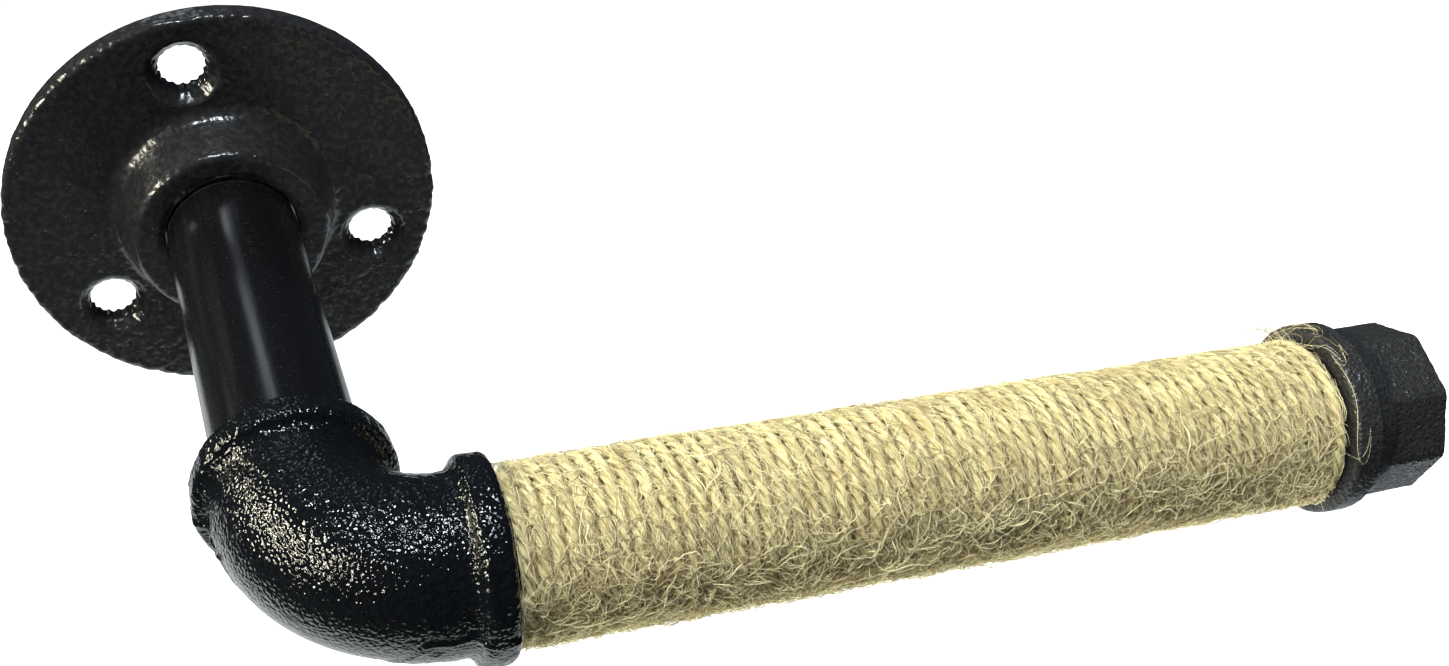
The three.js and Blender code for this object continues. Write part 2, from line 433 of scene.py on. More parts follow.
def carve(name: str, solid: Shell, cutters: Sequence[Shell], voxel: float) -> Shell:
    """Cuts shells out of a solid and lays an even net of small squares over the rest.

    Args:
        name: a name for the scratch objects.
        solid: what is cut.
        cutters: what is taken away, one after another.
        voxel: the size of the squares.

    Returns:
        The carved shell, ready to be roughened.
    """
    body = link(bpy.data.objects.new(name, mesh_of(name, solid)))
    tool_name = name + "_tool"
    tools = [link(bpy.data.objects.new(tool_name, mesh_of(tool_name, cutter))) for cutter in cutters]
    for tool in tools:
        cut = body.modifiers.new("cut", "BOOLEAN")
        cut.operation = "DIFFERENCE"
        cut.solver = "EXACT"
        cut.object = tool
    net = body.modifiers.new("net", "REMESH")
    net.mode = "VOXEL"
    net.voxel_size = voxel
    evaluated = body.evaluated_get(bpy.context.evaluated_depsgraph_get())
    mesh = evaluated.to_mesh()
    points = np.empty(len(mesh.vertices) * 3, np.float32)
    mesh.vertices.foreach_get("co", points)
    corners = np.empty(len(mesh.loops), np.int32)
    mesh.loops.foreach_get("vertex_index", corners)
    evaluated.to_mesh_clear()
    for scratch in [body, *tools]:
        data = scratch.data
        bpy.data.objects.remove(scratch)
        bpy.data.meshes.remove(data)
    return Shell(points.reshape(-1, 3).astype(float), corners.reshape(-1, 4)).outward()


# ---------------------------------------------------------------- material nodes


class Board:
    """A node tree with short ways to add and join nodes.

    Args:
        tree: the tree that is filled.
    """

    def __init__(self, tree: bpy.types.NodeTree) -> None:
        """Keeps the tree and starts at its left side."""
        self.tree = tree
        self.column = 0

    def add(self, kind: str, inputs: dict | None = None, **settings: object) -> bpy.types.Node:
        """Adds a node.

        Args:
            kind: the node's type name.
            inputs: a socket to join or a value to set, for each input name or number.
            settings: properties of the node itself.

        Returns:
            The node.
        """
        node = self.tree.nodes.new(kind)
        node.location = (self.column * 190, 0)
        self.column += 1
        for name, value in settings.items():
            setattr(node, name, value)
        for key, value in (inputs or {}).items():
            if isinstance(value, bpy.types.NodeSocket):
                self.tree.links.new(value, node.inputs[key])
            else:
                node.inputs[key].default_value = value
        return node

    def noise(self, vector: bpy.types.NodeSocket, scale: float,
              detail: float = 2.0) -> bpy.types.NodeSocket:
        """Smooth noise, mostly between 0.3 and 0.7.

        Args:
            vector: where the noise is read.
            scale: how many lumps there are in a unit of the vector.
            detail: how many finer layers are added.

        Returns:
            The value socket.
        """
        node = self.add("ShaderNodeTexNoise", {"Vector": vector, "Scale": scale, "Detail": detail})
        return node.outputs["Fac"]

    def spread(self, value: bpy.types.NodeSocket, low: float, high: float,
               to_low: float = 0.0, to_high: float = 1.0) -> bpy.types.NodeSocket:
        """Maps a stretch of values smoothly onto another, and holds it there.

        Args:
            value: the socket that is mapped.
            low: the value that becomes to_low.
            high: the value that becomes to_high.
            to_low: the lowest result.
            to_high: the highest result.

        Returns:
            The mapped value socket.
        """
        inputs = {"Value": value, "From Min": low, "From Max": high, "To Min": to_low, "To Max": to_high}
        node = self.add("ShaderNodeMapRange", inputs, interpolation_type="SMOOTHSTEP")
        return node.outputs["Result"]

    def math(self, operation: str, first: object, second: object = 0.0) -> bpy.types.NodeSocket:
        """One step of arithmetic.

        Args:
            operation: the Math node's operation.
            first: the first socket or value.
            second: the second socket or value.

        Returns:
            The result's socket.
        """
        node = self.add("ShaderNodeMath", {0: first, 1: second}, operation=operation)
        return node.outputs[0]

    def mix(self, share: object, first: object, second: object) -> bpy.types.NodeSocket:
        """Mixes two colours.

        Args:
            share: how much of the second colour is taken.
            first: the first colour or socket.
            second: the second colour or socket.

        Returns:
            The colour socket.
        """
        node = self.add("ShaderNodeMix", {0: share, 6: first, 7: second}, data_type="RGBA")
        return node.outputs[2]


def group_tree(name: str, inputs: dict[str, str],
               outputs: dict[str, str]) -> tuple[Board, dict, bpy.types.Node]:
    """Starts a shader node group.

    Args:
        name: the group's name.
        inputs: a socket type for each input name.
        outputs: a socket type for each output name.

    Returns:
        A board on the group, its input sockets by name, and its output node.
    """
    tree = bpy.data.node_groups.new(name, "ShaderNodeTree")
    for label, kind in inputs.items():
        tree.interface.new_socket(label, in_out="INPUT", socket_type=kind)
    for label, kind in outputs.items():
        tree.interface.new_socket(label, in_out="OUTPUT", socket_type=kind)
    board = Board(tree)
    start = board.add("NodeGroupInput")
    end = tree.nodes.new("NodeGroupOutput")
    return board, {label: start.outputs[label] for label in inputs}, end


def cast_grain_group() -> bpy.types.NodeTree:
    """The skin of a sand casting under thick paint.

    Height is one less the distance to the nearest of many scattered points, which
    gives round lumps, plus a little smooth noise, less small sharp pits. Low is a
    mask of broad hollows.

    Returns:
        The node group.
    """
    board, given, end = group_tree(
        "cast_grain",
        {"Place": "NodeSocketVector", "Lumps": "NodeSocketFloat", "Pits": "NodeSocketFloat"},
        {"Height": "NodeSocketFloat", "Low": "NodeSocketFloat"},
    )
    spots = {"Vector": given["Place"], "Scale": given["Lumps"]}
    wobble = board.add("ShaderNodeTexNoise", {**spots, "Detail": 1.0})
    cells = board.add("ShaderNodeTexVoronoi", {**spots, "Smoothness": 0.6}, feature="SMOOTH_F1")
    lump = board.math("SUBTRACT", 1.0, cells.outputs["Distance"])
    finer = board.math("MULTIPLY", given["Lumps"], 1.7)
    dots = board.add("ShaderNodeTexVoronoi", {"Vector": given["Place"], "Scale": finer})
    pit = board.spread(dots.outputs["Distance"], 0.05, 0.4, 1.0, 0.0)
    rare = board.spread(board.noise(given["Place"], 380.0), 0.52, 0.64)
    pit = board.math("MULTIPLY", board.math("MULTIPLY", pit, rare), given["Pits"])
    height = board.math("ADD", lump, board.math("MULTIPLY", wobble.outputs["Fac"], 0.7))
    height = board.math("SUBTRACT", height, pit)
    board.tree.links.new(height, end.inputs["Height"])
    board.tree.links.new(board.spread(wobble.outputs["Fac"], 0.6, 0.35), end.inputs["Low"])
    return board.tree


def fibre_tone_group() -> bpy.types.NodeTree:
    """Colour and relief of jute yarn.

    Along is a vector whose X runs along the yarn and whose Y goes round it, both
    in millimetres. Height is fine fibres that lie nearly along the yarn. Colour
    goes from pale straw to brown by single fibres, by clumps and by long stretches.

    Returns:
        The node group.
    """
    board, given, end = group_tree(
        "fibre_tone",
        {"Along": "NodeSocketVector", "Place": "NodeSocketVector", "Pale": "NodeSocketColor",
         "Dark": "NodeSocketColor", "Brown": "NodeSocketColor"},
        {"Height": "NodeSocketFloat", "Colour": "NodeSocketColor"},
    )
    stretched = board.add("ShaderNodeMapping", {"Vector": given["Along"], "Scale": (0.4, 4.2, 1.0)})
    fibres = board.noise(stretched.outputs["Vector"], 1.0, 3.0)
    clumped = board.add("ShaderNodeMapping", {"Vector": given["Along"], "Scale": (0.25, 1.3, 1.0)})
    clumps = board.noise(clumped.outputs["Vector"], 1.0, 1.0)
    patches = board.noise(given["Place"], 160.0, 2.0)
    share = board.spread(board.math("ADD", fibres, board.math("MULTIPLY", clumps, 0.6)), 0.6, 0.98)
    tone = board.mix(share, given["Dark"], given["Pale"])
    brown = board.math("MULTIPLY", board.spread(patches, 0.52, 0.72), 0.45)
    tone = board.mix(brown, tone, given["Brown"])
    board.tree.links.new(fibres, end.inputs["Height"])
    board.tree.links.new(tone, end.inputs["Colour"])
    return board.tree


CAST_GRAIN = cast_grain_group()
FIBRE_TONE = fibre_tone_group()


def new_material(name: str) -> tuple[Board, bpy.types.Node, bpy.types.Material]:
    """Starts a node material.

    Args:
        name: the material's name.

    Returns:
        A board on its tree, its Principled node and the material.
    """
    material = bpy.data.materials.new(name)
    material.use_nodes = True
    board = Board(material.node_tree)
    return board, material.node_tree.nodes["Principled BSDF"], material


@dataclass(frozen=True)
class CastPaint:
    """Thick glossy black paint on a rough casting.

    Args:
        name: the material's name.
        colour: the paint's colour.
        lumps: lumps in a metre of the casting's skin.
        pits: how deep the pits are, against the lumps.
        relief: the height of the lumps, in metres; dimples if negative.
        smooth: the roughness on the crests.
        dull: the roughness in the hollows.
    """

    name: str
    colour: tuple[float, float, float]
    lumps: float
    pits: float
    relief: float
    smooth: float
    dull: float

    def build(self) -> bpy.types.Material:
        """Makes the material: grain drives the bump, and its hollows are duller and dustier."""
        board, shader, material = new_material(self.name)
        place = board.add("ShaderNodeTexCoord").outputs["Object"]
        grain = board.add("ShaderNodeGroup", node_tree=CAST_GRAIN)
        board.tree.links.new(place, grain.inputs["Place"])
        grain.inputs["Lumps"].default_value = self.lumps
        grain.inputs["Pits"].default_value = self.pits
        low = grain.outputs["Low"]
        cloudy = board.spread(board.noise(place, 90.0), 0.35, 0.7)
        dullness = board.math("ADD", board.math("MULTIPLY", low, 0.6), board.math("MULTIPLY", cloudy, 0.4))
        rough = board.spread(dullness, 0.0, 1.0, self.smooth, self.dull)
        dusty = tuple(channel * 2.0 for channel in self.colour)
        colour = board.mix(board.math("MULTIPLY", low, 0.5), (*self.colour, 1), (*dusty, 1))
        height = grain.outputs["Height"]
        bump = board.add("ShaderNodeBump", {"Height": height, "Distance": abs(self.relief)})
        bump.invert = self.relief < 0
        board.tree.links.new(colour, shader.inputs["Base Color"])
        board.tree.links.new(rough, shader.inputs["Roughness"])
        board.tree.links.new(bump.outputs["Normal"], shader.inputs["Normal"])
        shader.inputs["Specular IOR Level"].default_value = 0.55
        return material


@dataclass(frozen=True)
class PipePaint:
    """Smooth gloss black on a drawn pipe, with faint lines along it.

    Args:
        name: the material's name.
        colour: the paint's colour.
        stretch: how much finer the pattern is across each axis than along the pipe.
    """

    name: str
    colour: tuple[float, float, float]
    stretch: tuple[float, float, float]

    def build(self) -> bpy.types.Material:
        """Makes the material: long streaks drive its roughness and a faint bump."""
        board, shader, material = new_material(self.name)
        place = board.add("ShaderNodeTexCoord").outputs["Object"]
        drawn = board.add("ShaderNodeMapping", {"Vector": place, "Scale": self.stretch})
        streaks = board.noise(drawn.outputs["Vector"], 500.0, 3.0)
        specks = board.spread(board.noise(place, 2600.0, 1.0), 0.68, 0.74)
        rough = board.spread(streaks, 0.3, 0.75, 0.16, 0.3)
        rough = board.math("ADD", rough, board.math("MULTIPLY", specks, 0.15))
        colour = board.mix(board.math("MULTIPLY", specks, 0.25), (*self.colour, 1), (0.05, 0.05, 0.055, 1))
        height = board.math("ADD", streaks, board.math("MULTIPLY", board.noise(place, 900.0, 2.0), 0.35))
        bump = board.add("ShaderNodeBump", {"Height": height, "Distance": 0.012 * MM})
        board.tree.links.new(colour, shader.inputs["Base Color"])
        board.tree.links.new(rough, shader.inputs["Roughness"])
        board.tree.links.new(bump.outputs["Normal"], shader.inputs["Normal"])
        return material


@dataclass(frozen=True)
class CutThread:
    """Bare steel of a cut pipe thread, dark with cutting oil.

    Args:
        name: the material's name.
    """

    name: str = "cut_thread_steel"

    def build(self) -> bpy.types.Material:
        """Makes the material: dark and bright smears of oil on metal."""
        board, shader, material = new_material(self.name)
        place = board.add("ShaderNodeTexCoord").outputs["Object"]
        smear = board.spread(board.noise(place, 350.0, 3.0), 0.35, 0.65)
        colour = board.mix(smear, (0.05, 0.045, 0.04, 1), (0.26, 0.25, 0.24, 1))
        board.tree.links.new(colour, shader.inputs["Base Color"])
        board.tree.links.new(board.spread(smear, 0.0, 1.0, 0.5, 0.28), shader.inputs["Roughness"])
        shader.inputs["Metallic"].default_value = 0.9
        return material


@dataclass(frozen=True)
class JuteYarn:
    """Natural jute, as twisted plies or as single loose fibres.

    Args:
        name: the material's name.
        pale: the colour of clean fibres.
        dark: the colour between them.
        brown: the colour of patches of bark.
        loose: whether the piece is shaded by its own attribute, as fibres and the bed are; that attribute is
            painted shade on the bed and partly painted shade on the matted fibres.
    """

    name: str
    pale: tuple[float, float, float]
    dark: tuple[float, float, float]
    brown: tuple[float, float, float]
    loose: bool = False

    def build(self) -> bpy.types.Material:
        """Makes the material: matt, with a little sheen and fine fibre relief on the plies."""
        board, shader, material = new_material(self.name)
        place = board.add("ShaderNodeTexCoord").outputs["Object"]
        shader.inputs["Roughness"].default_value = 0.78
        shader.inputs["Specular IOR Level"].default_value = 0.3
        shader.inputs["Sheen Weight"].default_value = 0.15
        shader.inputs["Sheen Roughness"].default_value = 0.5
        if self.loose:
            # The shade attribute mixes dark and pale: random tone on most fibres, painted shade on the bed
            # and on low matted fibres.
            own = board.add("ShaderNodeAttribute", attribute_name="shade").outputs["Fac"]
            colour = board.mix(own, (*self.dark, 1), (*self.pale, 1))
            patches = board.math("MULTIPLY", board.spread(board.noise(place, 160.0), 0.52, 0.72), 0.35)
            colour = board.mix(patches, colour, (*self.brown, 1))
            board.tree.links.new(colour, shader.inputs["Base Color"])
            return material
        along = board.add("ShaderNodeUVMap", uv_map="along").outputs["UV"]
        tone = board.add("ShaderNodeGroup", node_tree=FIBRE_TONE)
        board.tree.links.new(along, tone.inputs["Along"])
        board.tree.links.new(place, tone.inputs["Place"])
        for label, value in (("Pale", self.pale), ("Dark", self.dark), ("Brown", self.brown)):
            tone.inputs[label].default_value = (*value, 1)
        bump = board.add("ShaderNodeBump", {"Height": tone.outputs["Height"], "Distance": 0.4 * MM})
        board.tree.links.new(tone.outputs["Colour"], shader.inputs["Base Color"])
        board.tree.links.new(bump.outputs["Normal"], shader.inputs["Normal"])
        return material


# ---------------------------------------------------------------- pieces


def settle(
    name: str,
    shell: Shell,
    materials: Sequence[bpy.types.Material],
    part: Part,
    replaced: str | None = None,
) -> bpy.types.Object:
    """Makes a finished piece of a shell and tells the frame about it.

    Args:
        name: the piece's name.
        shell: its surface.
        materials: its materials.
        part: the body that it rides on.
        replaced: the CAD node that it stands for, if any.

    Returns:
        The piece.
    """
    piece = link(bpy.data.objects.new(name, mesh_of(name, shell)))
    for material in materials:
        piece.data.materials.append(material)
    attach(piece, part.value)
    if replaced:
        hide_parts(replaced)
    LOG.info("%s: %d faces on %s", name, len(shell.quads), part.value)
    return piece


@dataclass
class WallFlange:
    """The round cast floor flange with a hub and three countersunk screw holes."""

    radius: float = float(FLANGE_BOX.high[0]) - 0.12 * MM
    height: float = float(-FLANGE_BOX.low[1])
    thickness: float = 4.6 * MM
    hub_radius: float = 15.9 * MM
    hub_base_radius: float = 17.3 * MM
    hub_fillet: float = 2.6 * MM
    bore_radius: float = PIPE_RADIUS + 0.15 * MM
    mouth_radius: float = 11.9 * MM
    screw_circle: float = 26.3 * MM
    screw_hole: float = 3.9 * MM
    screw_sink: float = 5.75 * MM
    screw_count: int = 3
    first_screw: float = -0.188
    net: float = 0.36 * MM
    finish: CastPaint = CastPaint("flange_paint", (0.0115, 0.0115, 0.012), lumps=900.0, pits=0.6,
                                  relief=-0.085 * MM, smooth=0.16, dull=0.27)

    def body(self) -> Shell:
        """The plate and hub: a profile turned round the wall run."""
        round_rim, round_hub = 0.9 * MM, 1.2 * MM
        rim_centre = (self.radius - round_rim, self.thickness - round_rim)
        fillet_centre = (self.hub_base_radius + self.hub_fillet, self.thickness + self.hub_fillet)
        hub_centre = (self.hub_radius - round_hub, self.height - round_hub)
        profile = np.concatenate([
            [[self.bore_radius, 0.0], [self.radius - 0.5 * MM, 0.0], [self.radius, 0.5 * MM]],
            arc(rim_centre, round_rim, 0, 90, 6),
            arc(fillet_centre, self.hub_fillet, -90, -180, 8),
            arc(hub_centre, round_hub, 0, 90, 6),
            [[self.mouth_radius + 0.2 * MM, self.height],
             [self.mouth_radius - 0.1 * MM, self.height - 0.2 * MM],
             [self.bore_radius, self.height - 0.75 * MM],
             [self.bore_radius, 0.1 * MM]],
        ])
        return revolve(WALL_RUN, denser(profile, 1.0 * MM), 240, closed=True)

    def screw_cutter(self, index: int) -> Shell:
        """The cutter of one screw hole.

        Its radius is the hole's, plus a share of the size of the sine of eight times
        the angle, which leaves sixteen small teeth of paint; above it a cone opens
        to the countersink's rim.

        Args:
            index: which hole.

        Returns:
            The cutter's shell.
        """
        over = 1.0 * MM
        slope = self.screw_sink - self.screw_hole
        height = np.array([-over, 0.3 * MM, self.thickness - slope - 0.9 * MM, self.thickness - slope,
                           self.thickness, self.thickness + over])
        radius = np.array([self.screw_hole, self.screw_hole, self.screw_hole, self.screw_hole + 0.25 * MM,
                           self.screw_sink, self.screw_sink + 0.4 * MM])
        teeth = np.array([1.0, 1.0, 1.0, 0.3, 0.0, 0.0]) * 0.55 * MM
        angle = np.arange(192) / 192 * TURN
        lobes = np.abs(np.sin(8 * angle + index)) - 0.62
        reach = radius[:, None] + teeth[:, None] * lobes
        centre = self.first_screw + index * TURN / self.screw_count
        across = self.screw_circle * math.sin(centre) + reach * np.cos(angle)
        up = self.screw_circle * math.cos(centre) + reach * np.sin(angle)
        return tube_shell(WALL_RUN.place(height[:, None] + 0 * angle, across, up))

    def roughened(self, shell: Shell) -> Shell:
        """Moves the skin along its normals by broad waves, lumps and rim dents.

        Args:
            shell: the carved flange.

        Returns:
            The same shell, with the back face left flat.
        """
        points = shell.points
        height = -points[:, 1]
        radius = np.hypot(points[:, 0], points[:, 2])
        front = smooth_step(height, 0.2 * MM, 1.4 * MM)
        outside = smooth_step(radius, self.bore_radius + 0.2 * MM, self.mouth_radius)
        rim = smooth_step(radius, self.radius - 2.0 * MM, self.radius - 0.3 * MM)
        lift = 0.05 * MM * WaveField(11, 7 * MM).at(points)
        lift += 0.016 * MM * WaveField(12, 2.3 * MM).at(points)
        lift += 0.014 * MM * WaveField(13, 1.3 * MM, waves=34).at(points)
        lift += rim * 0.08 * MM * WaveField(14, 3.2 * MM).at(points)
        lift += rim * 0.05 * MM * WaveField(15, 1.5 * MM).at(points)
        shell.points = points + shell.normals() * (lift * front * outside)[:, None]
        shell.points = np.clip(shell.points, FLANGE_BOX.low, FLANGE_BOX.high)
        return shell

    def build(self) -> bpy.types.Object:
        """Carves, roughens and dresses the flange."""
        cutters = [self.screw_cutter(index) for index in range(self.screw_count)]
        shell = self.roughened(carve("flange", self.body(), cutters, self.net))
        paint = self.finish.build()
        return settle("flange_casting", shell, [paint], Part.FLANGE, "wall_flange")


@dataclass
class Elbow:
    """The cast elbow: two beaded mouths joined by a quarter bend.

    Local distances count from the corner where the two centre lines meet. One
    mouth opens towards the wall and the other towards the arm.
    """

    reach: float = ELBOW_REACH
    bend_radius: float = 16.5 * MM
    body_radius: float = 12.45 * MM
    bead_radius: float = float(ELBOW_BOX.high[2]) - 0.06 * MM
    bead_width: float = 4.5 * MM
    passage_radius: float = 8.2 * MM
    socket_radius: float = PIPE_RADIUS + 0.15 * MM
    seam_drop: float = 2.4 * MM
    net: float = 0.31 * MM
    finish: CastPaint = CastPaint("elbow_paint", (0.0022, 0.0027, 0.0034), lumps=1700.0, pits=0.15,
                                  relief=0.17 * MM, smooth=0.07, dull=0.13)

    def path(self, inset: Array) -> tuple[Array, Array]:
        """The centre line through the elbow.

        It runs straight from the wall mouth, round a quarter circle and straight
        to the arm mouth.

        Args:
            inset: distances from the wall mouth along the line.

        Returns:
            The centres, and at each the unit direction that points to the bend's inside.
        """
        straight = self.reach - self.bend_radius
        bend = self.bend_radius * TURN / 4
        turned = np.clip((inset - straight) / self.bend_radius, 0, TURN / 4)
        before = np.minimum(inset, straight)
        after = np.maximum(inset - straight - bend, 0)
        across = self.bend_radius * (1 - np.cos(turned)) + after
        down = before + self.bend_radius * np.sin(turned)
        centre = np.stack([across, -WALL_TO_ARM + self.reach - down, 0 * inset], axis=-1)
        inside = np.stack([np.cos(turned), np.sin(turned), 0 * inset], axis=-1)
        return centre, inside

    def sweep(self, inset: Array, radius: Array, columns: int) -> Shell:
        """A round tube of changing radius along the path.

        Args:
            inset: distances from the wall mouth.
            radius: the tube's radius at each of them.
            columns: how many steps go round.

        Returns:
            The closed shell.
        """
        centre, inside = self.path(inset)
        angle = np.arange(columns) / columns * TURN
        up = np.array([0.0, 0.0, 1.0])
        around = np.cos(angle)[None, :, None] * inside[:, None, :] + np.sin(angle)[None, :, None] * up
        return tube_shell(centre[:, None, :] + radius[:, None, None] * around)

    def mouth_profile(self) -> Array:
        """Rows of inset and radius from a mouth's face over the bead to the body."""
        bead, body, width = self.bead_radius, self.body_radius, self.bead_width
        return np.array([
            [0.0, bead - 0.9 * MM],
            [0.25 * MM, bead - 0.35 * MM],
            [0.8 * MM, bead],
            [width - 0.7 * MM, bead],
            [width - 0.1 * MM, bead - 0.35 * MM],
            [width + 0.35 * MM, body + 0.75 * MM],
            [width + 0.9 * MM, body + 0.2 * MM],
            [width + 1.8 * MM, body],
        ])

    def carved(self) -> Shell:
        """The bead and body sweep, with the passage and the two threaded mouths cut out."""
        length = 2 * (self.reach - self.bend_radius) + self.bend_radius * TURN / 4
        mouth = self.mouth_profile()
        middle = np.linspace(mouth[-1, 0] + 0.5 * MM, length - mouth[-1, 0] - 0.5 * MM, 60)
        inset = np.concatenate([mouth[:, 0], middle, length - mouth[::-1, 0]])
        radius = np.concatenate([mouth[:, 1], np.full(len(middle), self.body_radius), mouth[::-1, 1]])
        outside = self.sweep(inset, radius, 160)
        inner = np.linspace(5 * MM, length - 5 * MM, 48)
        passage = self.sweep(inner, np.full(len(inner), self.passage_radius), 72)
        over = 1.0 * MM
        depth = THREAD_LENGTH + 0.6 * MM
        near, far = self.reach - depth, self.reach + over
        bore = np.array([[self.socket_radius, near], [self.socket_radius, far]])
        wall_mouth = revolve(WALL_RUN, bore * [1, -1] + [0, WALL_TO_ARM], 96, closed=False)
        arm_mouth = revolve(ARM_RUN, bore, 96, closed=False)
        return carve("elbow", outside, [passage, wall_mouth, arm_mouth], self.net)

    def roughened(self, shell: Shell) -> Shell:
        """Adds the casting's lumps and the raised parting seam round the outside.

        The seam is a low ridge where the distance below the middle plane equals the
        seam drop, with the lower half standing a little proud of the upper.

        Args:
            shell: the carved elbow.

        Returns:
            The same shell.
        """
        points = shell.points
        normals = shell.normals()
        from_wall_run = np.hypot(points[:, 0], points[:, 2])
        from_arm_run = np.hypot(points[:, 1] + WALL_TO_ARM, points[:, 2])
        outside = smooth_step(np.minimum(from_wall_run, from_arm_run), self.socket_radius + 0.1 * MM,
                              self.socket_radius + 0.9 * MM)
        lift = 0.06 * MM * WaveField(21, 6 * MM).at(points)
        lift += 0.04 * MM * WaveField(22, 2.0 * MM).at(points)
        lift += 0.02 * MM * WaveField(23, 1.1 * MM, waves=34).at(points)
        ragged = 0.25 * MM * WaveField(24, 4 * MM).at(points)
        below = -points[:, 2] - self.seam_drop - ragged
        convex = np.array([self.bend_radius, -WALL_TO_ARM + self.bend_radius])
        outer_side = smooth_step(-((points[:, :2] - convex) * normals[:, :2]).sum(axis=1), -6 * MM, 0.0)
        outer_side = 1 - outer_side
        ridge = np.exp(-((below / (0.36 * MM)) ** 2))
        lift += outer_side * (0.26 * MM * ridge + 0.3 * MM * smooth_step(below, -0.4 * MM, 0.4 * MM))
        shell.points = points + normals * (lift * outside)[:, None]
        shell.points = np.clip(shell.points, ELBOW_BOX.low, ELBOW_BOX.high)
        return shell

    def build(self) -> bpy.types.Object:
        """Carves, roughens and dresses the elbow."""
        shell = self.roughened(self.carved())
        return settle("elbow_casting", shell, [self.finish.build()], Part.ELBOW, "elbow")


@dataclass
class EndCap:
    """The cast end cap: a round band, a shoulder and an eight sided head."""

    start: float = float(CAP_BOX.low[0])
    length: float = float(CAP_BOX.high[0] - CAP_BOX.low[0])
    band_radius: float = float(CAP_BOX.high[2]) - 0.06 * MM
    band_width: float = 4.4 * MM
    shoulder_end: float = 7.9 * MM
    head_radius: float = 13.55 * MM
    head_taper: float = 0.15 * MM
    sides: int = 8
    socket_radius: float = PIPE_RADIUS + 0.12 * MM
    socket_depth: float = 12.2 * MM
    net: float = 0.24 * MM
    finish: CastPaint = CastPaint("cap_paint", (0.0185, 0.0187, 0.019), lumps=1800.0, pits=0.4,
                                  relief=0.18 * MM, smooth=0.25, dull=0.44)

    def outside(self) -> Shell:
        """The cap's outer surface.

        At each height its radius is the larger of two: a round one that holds the
        band, falls over the shoulder and stays low, and that of a regular eight
        sided figure, its inner radius divided by the cosine of the angle from the
        middle of the side.

        Returns:
            The closed shell.
        """
        bevel = 0.55 * MM
        height = np.concatenate([
            [0.0, 0.2 * MM, 0.6 * MM],
            np.linspace(0.9 * MM, self.length - bevel, 56),
            self.length - bevel + np.array([0.35, 0.65, 0.9, 1.0]) * bevel,
        ])
        angle = np.arange(256) / 256 * TURN
        side = TURN / self.sides
        from_middle = (angle % side) - side / 2
        round_radius = np.interp(
            height,
            [0.0, 0.2 * MM, 0.6 * MM, self.band_width, self.band_width + 0.35 * MM, self.shoulder_end,
             self.shoulder_end + 1.0 * MM, self.shoulder_end + 1.2 * MM],
            [self.band_radius - 0.6 * MM, self.band_radius - 0.2 * MM, self.band_radius, self.band_radius,
             self.band_radius - 0.65 * MM, self.head_radius - 0.45 * MM, self.head_radius - 1.2 * MM, 0.0],
        )
        bevelled = np.interp(height, self.length - bevel + np.array([0.0, 0.35, 0.65, 0.9, 1.0]) * bevel,
                             np.array([0.0, 0.08, 0.28, 0.66, 1.1]) * bevel)
        corner_radius = self.head_radius - self.head_taper * height / self.length - bevelled
        corner_radius = np.where(height < self.band_width * 0.8, 0.0, corner_radius)
        flat_radius = corner_radius[:, None] * math.cos(side / 2) / np.cos(from_middle)
        softened = np.minimum(flat_radius, corner_radius[:, None] - 0.18 * MM)
        radius = np.maximum(round_radius[:, None], softened)
        turn_up = TURN / 4
        across = radius * np.cos(angle + turn_up)
        up = radius * np.sin(angle + turn_up)
        return tube_shell(ARM_RUN.place(self.start + height[:, None] + 0 * angle, across, up))

    def socket(self) -> Shell:
        """The cutter of the threaded socket: a cylinder with one helical ridge on it."""
        over = 1.0 * MM
        height = np.linspace(-over, self.socket_depth, 150)
        angle = np.arange(120) / 120 * TURN
        phase = height[:, None] / THREAD_PITCH - angle / TURN
        ridge = 0.5 * MM * (1 - 2 * np.abs(phase % 1.0 - 0.5))
        flare = 0.6 * MM * (1 - smooth_step(height, -over, 0.9 * MM))
        radius = self.socket_radius + ridge + flare[:, None]
        across, up = radius * np.cos(angle), radius * np.sin(angle)
        return tube_shell(ARM_RUN.place(self.start + height[:, None] + 0 * angle, across, up))

    def roughened(self, shell: Shell) -> Shell:
        """Adds the casting's lumps outside and leaves the thread as it is.

        Args:
            shell: the carved cap.

        Returns:
            The same shell.
        """
        points = shell.points
        from_axis = np.hypot(points[:, 1] + WALL_TO_ARM, points[:, 2])
        outside = smooth_step(from_axis, self.socket_radius + 0.6 * MM, self.socket_radius + 1.4 * MM)
        outside = np.maximum(outside, smooth_step(points[:, 0], self.start + self.socket_depth + 1 * MM,
                                                  self.start + self.socket_depth + 2 * MM))
        lift = 0.035 * MM * WaveField(31, 5 * MM).at(points)
        lift += 0.016 * MM * WaveField(32, 1.9 * MM).at(points)
        lift += 0.022 * MM * WaveField(33, 1.0 * MM, waves=34).at(points)
        shell.points = points + shell.normals() * (lift * outside)[:, None]
        shell.points = np.clip(shell.points, CAP_BOX.low, CAP_BOX.high)
        return shell

    def build(self) -> bpy.types.Object:
        """Carves, roughens and dresses the cap."""
        shell = self.roughened(carve("cap", self.outside(), [self.socket()], self.net))
        return settle("cap_casting", shell, [self.finish.build()], Part.CAP, "end_cap")


